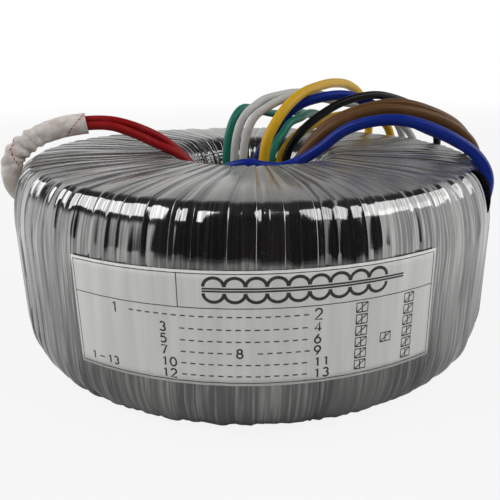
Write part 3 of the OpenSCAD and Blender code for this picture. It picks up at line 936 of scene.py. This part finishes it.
DIGITS = {
    "0": [bend(0.4, 0.5, 0.4, 0.5, 0, 360, 22)],
    "1": [np.array([(0.2, 0.8), (0.45, 1), (0.45, 0)])],
    "2": [np.vstack([bend(0.38, 0.7, 0.34, 0.3, 170, -25), [(0.02, 0), (0.76, 0)]])],
    "3": [bend(0.36, 0.75, 0.32, 0.25, 150, -80), bend(0.36, 0.26, 0.37, 0.26, 80, -150)],
    "4": [np.array([(0.58, 0), (0.58, 1), (0.02, 0.28), (0.8, 0.28)])],
    "5": [np.vstack([[(0.7, 1), (0.16, 1), (0.1, 0.56)],
                     bend(0.37, 0.33, 0.36, 0.33, 130, -145)])],
    "6": [np.vstack([[(0.55, 1)], bend(0.38, 0.32, 0.36, 0.32, 150, 510, 20)])],
    "7": [np.array([(0.04, 1), (0.76, 1), (0.28, 0)])],
    "8": [bend(0.39, 0.76, 0.29, 0.24, 0, 360, 18), bend(0.39, 0.27, 0.36, 0.27, 0, 360, 20)],
    "9": [np.vstack([bend(0.38, 0.68, 0.36, 0.32, 330, -30, 20), [(0.25, 0)]])],
}
DIGIT_W, DIGIT_PITCH = 0.85, 1.12


def write(text, x, z, height):
    """The strokes of a number whose lower left corner is at x, z."""
    width = height * DIGIT_W
    return [stroke * (width, height) + (x + k * width * DIGIT_PITCH, z)
            for k, digit in enumerate(text) for stroke in DIGITS[digit]]


def box_mark(x, z, w, h):
    return np.array([(x, z), (x + w, z), (x + w, z + h), (x, z + h), (x, z)])


LONGEST_STEP = 1.5  # short enough to follow the curve of the wall


def ribbon(stroke, pen):
    """Left and right edges of a stroke drawn with a flat pen."""
    p = [stroke[0]]
    for a, b in zip(stroke[:-1], stroke[1:]):
        count = max(1, int(np.linalg.norm(b - a) / LONGEST_STEP))
        p.extend(a + (b - a) * k / count for k in range(1, count + 1))
    p = np.array(p)
    t = unit(np.gradient(p, axis=0) + 1e-12)
    side = np.stack([-t[:, 1], t[:, 0]], 1) * pen / 2
    return p + side, p - side


print("strokes ready")

# %% Draw the label's frame and symbol
half = LABEL_W / 2
foot, head = LABEL_FOOT, LABEL_FOOT + LABEL_H
MARGIN = 0.7
RULE, DIVIDER = foot + 18.6, -16.5
FINE, HAIR, DASH, PEN, BOLD = 0.2, 0.26, 0.3, 0.4, 0.72
marks = []


def draw(pen, *points):
    """Adds a mark made of straight lines between the points."""
    marks.append((np.array(points), pen))


frame_w, frame_h = LABEL_W - 2 * MARGIN, LABEL_H - 2 * MARGIN
marks.append((box_mark(-half + MARGIN, foot + MARGIN, frame_w, frame_h), FINE))
draw(FINE, (-half + MARGIN, RULE), (half - MARGIN, RULE))
draw(FINE, (DIVIDER, RULE), (DIVIDER, head - MARGIN))
# The big symbol of two windings: humps above and below a pair of core bars
symbol_z = RULE + 4.2
for hump in np.arange(-8.5, 32, 4.5):
    marks.append((bend(hump, symbol_z + 0.75, 2.2, 2.0, 0, 180, 16), BOLD))
    marks.append((bend(hump, symbol_z - 0.75, 2.2, 2.0, 180, 360, 16), BOLD))
for bar in (-0.3, 0.3):
    draw(PEN, (-11, symbol_z + bar), (34.3, symbol_z + bar))
print(len(marks), "strokes for the frame and the symbol")

# %% Number the windings
# Terminal numbers joined by dashes, one row for each winding: where the row
# starts, how high its digits are, and its numbers
LAST_NUMBER, ROW_GAP = 13, 0.72
DASH_L, DASH_PITCH = 1.15, 2.05
ROWS = [(-33, 2.5, ("1", "2")), (-21, 2.1, ("3", "4")), (-21, 2.1, ("5", "6")),
        (-21, 2.1, ("7", "8", "9")), (-21, 2.1, ("10", "11")), (-21, 2.1, ("12", "13"))]
z = RULE
for start, height, ends in ROWS:
    z -= height + ROW_GAP
    stops = np.linspace(start, LAST_NUMBER, len(ends))
    for stop, number in zip(stops, ends):
        marks.extend((stroke, PEN) for stroke in write(number, stop, z, height))
    for left, right in zip(stops[:-1], stops[1:]):
        for dash in np.arange(left + 4.6, right - 1.6, DASH_PITCH):
            draw(DASH, (dash, z + height / 2), (dash + DASH_L, z + height / 2))
print(len(marks), "strokes with the numbers")

# %% Add the small boxes
# One for each terminal of each winding
SWATCH_W, SWATCH_H, SWATCH_PITCH = 2.7, 2.2, 2.8
for k, (_, _, ends) in enumerate(ROWS):
    for left in (22.6, 35.2) if len(ends) == 2 else (22.6, 29.0, 35.2):
        low = RULE - 1.75 - SWATCH_PITCH * (k + 0.4)
        marks.append((box_mark(left, low, SWATCH_W, SWATCH_H), DASH))
        draw(HAIR, (left, low), (left + SWATCH_W, low + SWATCH_H))
        draw(HAIR, (left + SWATCH_W / 2, low), (left + SWATCH_W / 2, low + SWATCH_H))
# The first and last terminal numbers once more in the lower left corner
SMALL = 1.9
for number, left in (("1", -40.5), ("13", -35.6)):
    marks.extend((stroke, PEN) for stroke in write(number, left, foot + SMALL, SMALL))
draw(DASH, (-38.2, foot + 2.9), (-36.6, foot + 2.9))
print(len(marks), "strokes in all")

# %% Draw the print on the sheet
ink_points, ink_faces = [], []
for stroke, pen in marks:
    left, right = ribbon(np.asarray(stroke, float), pen)
    start = len(ink_points)
    for pair in zip(left, right):
        ink_points.extend(on_label(x, z, INK_T) for x, z in pair)
    for k in range(len(left) - 1):
        a = start + 2 * k
        ink_faces.append((a + 1, a + 3, a + 2, a))
ink_mesh = bpy.data.meshes.new("label_print")
ink_mesh.from_pydata([tuple(p) for p in ink_points], [], ink_faces)
ink_mesh.uv_layers.new(name="run")
ink = show("label_print", ink_mesh)
print("print of", len(ink_faces), "faces")

# %% [markdown]
# The stock is smooth and a little shiny, and its tone wanders slightly. The ink
# is nearly black and a little worn. Both are separate pieces, and together they
# are the label.


# %% Label finishes
def stock(s):
    u, v = s.along("run")
    tone = s.noise(s.vector(u * 0.35, v * 0.02), 1, 3)
    grain = s.noise(s.place(), 1500, 2)
    return {
        "Base Color": tone.fade(0.3, 0.7).mix((0.83, 0.83, 0.81), (0.93, 0.93, 0.90)),
        "Roughness": 0.34 + 0.14 * tone,
        "Normal": s.bump(tone + 0.15 * grain, 0.0002, 0.25),
    }


def ink_finish(s):
    worn = s.noise(s.place(), 1800, 3).fade(0.5, 0.75)
    return {"Base Color": worn.mix((0.03, 0.035, 0.03), (0.09, 0.10, 0.09)),
            "Roughness": 0.4 + 0.1 * worn}


STOCK = finish("label_stock", stock, IOR=1.45, coat_weight=0.2, coat_roughness=0.2)
INK = finish("label_ink", ink_finish)
dress(label, STOCK, "label_stock", "rating_label")
dress(ink, INK, "label_stock")
print("label dressed in", STOCK.name, "and", INK.name)

# %% [markdown]
# ## What lies under the film
# The windings, their insulation, the splices and the steel core keep their
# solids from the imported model. They are seen only through the slit, or when the
# part is taken apart, but each still gets its own finish.


# %% Finishes of the hidden pieces
def rings(s, scale, distortion):
    """Fine lines that go round the part's axis."""
    return s.node("ShaderNodeTexWave", {"wave_type": "RINGS", "rings_direction": "Z"},
                  {"Vector": s.place(), "Scale": scale, "Distortion": distortion})


def enamelled(s):
    shade = s.noise(s.place(), 90, 3)
    return {
        "Base Color": shade.mix((0.42, 0.14, 0.05), (0.58, 0.24, 0.09)),
        "Roughness": 0.22 + 0.2 * shade,
        "Normal": s.bump(rings(s, 320.0, 0.6), 0.0004, 0.6),
    }


def inner_film(s):
    fold = s.noise(s.place(), 160, 4)
    return {
        "Base Color": fold.mix((0.05, 0.05, 0.052), (0.09, 0.09, 0.09)),
        "Roughness": 0.2 + 0.2 * fold,
        "Normal": s.bump(fold, 0.0002, 0.5),
    }


def strip_steel(s):
    stain = s.noise(s.place(), 70, 3)
    return {
        "Base Color": stain.mix((0.30, 0.31, 0.33), (0.42, 0.42, 0.43)),
        "Roughness": 0.35 + 0.2 * stain,
        "Normal": s.bump(rings(s, 900.0, 0.2), 0.0002, 0.5),
    }


def splice_sleeve(s):
    blot = s.noise(s.place(), 300, 3)
    return {
        "Base Color": blot.mix((0.72, 0.69, 0.60), (0.62, 0.58, 0.50)),
        "Roughness": 0.5 + 0.2 * blot,
    }


INNER = {
    "enamelled_wire": finish("enamelled_copper_wire", enamelled, metallic=0.8),
    "layer_film": finish("inner_insulating_film", inner_film, IOR=1.55),
    "core_steel": finish("wound_core_strip", strip_steel, metallic=1.0),
    "splice_tube": finish("splice_tube", splice_sleeve),
}
SLOT_OF = {part["node"]: part["material_slot"] for part in frame["record"]["subparts"]}
for name, node in frame["nodes"].items():
    if node.hide_render:
        continue
    material = INNER[SLOT_OF[name]]
    node.data.materials.clear()
    node.data.materials.append(material)
    print(name, "gets", material.name)

# %% [markdown]
# ## Floor
# A plain pale floor. The camera sees it almost white, with a soft shadow round
# the ring. It glows in the film's mirror too, but not right under the ring or in
# front. One material does both, since a Light Path node tells who is looking.

# %% Lay the floor
FLOOR_R, FLOOR_Z = 12.0, -0.2 * MM
floor_mesh = bpy.data.meshes.new("floor")
floor_mesh.from_pydata(
    [(FLOOR_R * x, FLOOR_R * y, 0) for x, y in ((-1, -1), (1, -1), (1, 1), (-1, 1))],
    [], [(0, 1, 2, 3)])
floor = show("floor", floor_mesh)
floor.location.z = FLOOR_Z
print("floor", 2 * FLOOR_R, "m wide")

# %% Floor finish
paint = bpy.data.materials.new("floor_paint")
paint.use_nodes = True
tree = paint.node_tree
s = Field(tree)
seen = s.node("ShaderNodeLightPath")
lit = s.node("ShaderNodeBsdfDiffuse", None, {"Color": (0.54, 0.54, 0.535)})
glow = s.node("ShaderNodeEmission", None, {"Color": (1.0, 1.0, 1.0), "Strength": 1.0})
mirrored = seen.other("Is Glossy Ray")
passed = seen.other("Is Transmission Ray")
ground = s.place()
gone = s.node("ShaderNodeVectorMath", {"operation": "LENGTH"}, {0: ground}, 1)
far = gone.fade(0.3, 1.2)
toward = s.node("ShaderNodeVectorMath", {"operation": "NORMALIZE"}, {0: ground})
dim = (0 - toward.split().other(1)).fade(0.5, 0.8)
glowing = s.maths("MAXIMUM", seen * (0.88 + 0.12 * far),
                  (mirrored + passed) * gone.fade(0.0, 0.2) * (1 - dim) * 0.94)
both = s.node("ShaderNodeMixShader", None, {0: glowing, 1: lit, 2: glow})
tree.links.new(both.socket, tree.nodes["Material Output"].inputs["Surface"])
floor_mesh.materials.append(paint)
print("floor dressed in", paint.name)

# %% [markdown]
# ## Soft boxes
# A glossy object shows its lights as patches, so they are large and soft. Two
# overhead, to the left and right, give each turn a bright patch on the shoulder.
# A weak fill in front lights the label, and the film doesn't mirror it.


# %% Soft boxes
def soft_box(name, place, aim, edge, wide, deep, watts):
    """A rectangular light at `place` that faces `aim`, its long side along `edge`."""
    light = bpy.data.lights.new(name, "AREA")
    light.shape = "RECTANGLE"
    light.size, light.size_y = wide, deep
    light.energy = watts
    lamp = bpy.data.objects.new(name, light)
    bpy.context.scene.collection.objects.link(lamp)
    back = (Vector(place) - Vector(aim)).normalized()
    side = Vector(edge)
    side = (side - side.dot(back) * back).normalized()
    turn = Matrix((side, back.cross(side), back)).transposed().to_4x4()
    lamp.matrix_world = Matrix.Translation(place) @ turn
    lamp.visible_camera = False
    return lamp


CENTRE = (0, 0, 0.05)
for name, x, watts in (("soft_box_left", -0.60, 4.0), ("soft_box_right", 0.60, 2.9)):
    soft_box(name, (x, -0.07, 0.58), CENTRE, (0, 0.73, -0.68), 1.0, 0.44, watts)
fill = soft_box("front_fill", (0, -0.75, 0.40), CENTRE, (1, 0, 0), 0.6, 0.4, 0.9)
fill.visible_glossy = False
print("two soft boxes and a front fill")

# %% [markdown]
# ## The room
# Most of what the film mirrors is the room itself. It is pale at the sides and
# behind, and dark overhead and in front, which is what makes the film look
# black there. The camera sees plain white in its place.

# %% Light the room
world = bpy.data.worlds.new("room")
bpy.context.scene.world = world
world.use_nodes = True
tree = world.node_tree
s = Field(tree)
across = s.node("ShaderNodeTexCoord", out=0).split()
ahead, up = across.other(1), across.other(2)
to_side = s.maths("ABSOLUTE", across).fade(0.6, 0.85)
low_edge = 0.21 - 0.4 * ahead * to_side + 0.3 * across.fade(0.3, 0.8)
rear = ahead.fade(0.3, 0.8)
overhead = (up - low_edge).fade(0.0, 0.11 + 0.45 * rear)
front = (0 - ahead).fade(0.36, 0.56)
behind = ahead.fade(0.5, 0.95)
to_left = (0 - across).fade(-0.3, 0.3)
pale = behind.mix((1, 1, 1), to_left.mix((0.42, 0.42, 0.42), (0.86, 0.86, 0.85)))
walls = overhead.mix(pale, (0.04, 0.04, 0.045))
room = front.mix(walls, (0.010, 0.007, 0.007))
seen = s.node("ShaderNodeLightPath")
plain = tree.nodes["Background"]
s.put(plain.inputs["Color"], room)
white = s.node("ShaderNodeBackground", None, {"Color": (1, 1, 1), "Strength": 1.0})
walled = Field(tree, plain.outputs[0])
either = s.node("ShaderNodeMixShader", None, {0: seen, 1: walled, 2: white})
tree.links.new(either.socket, tree.nodes["World Output"].inputs["Surface"])
print("room ready")
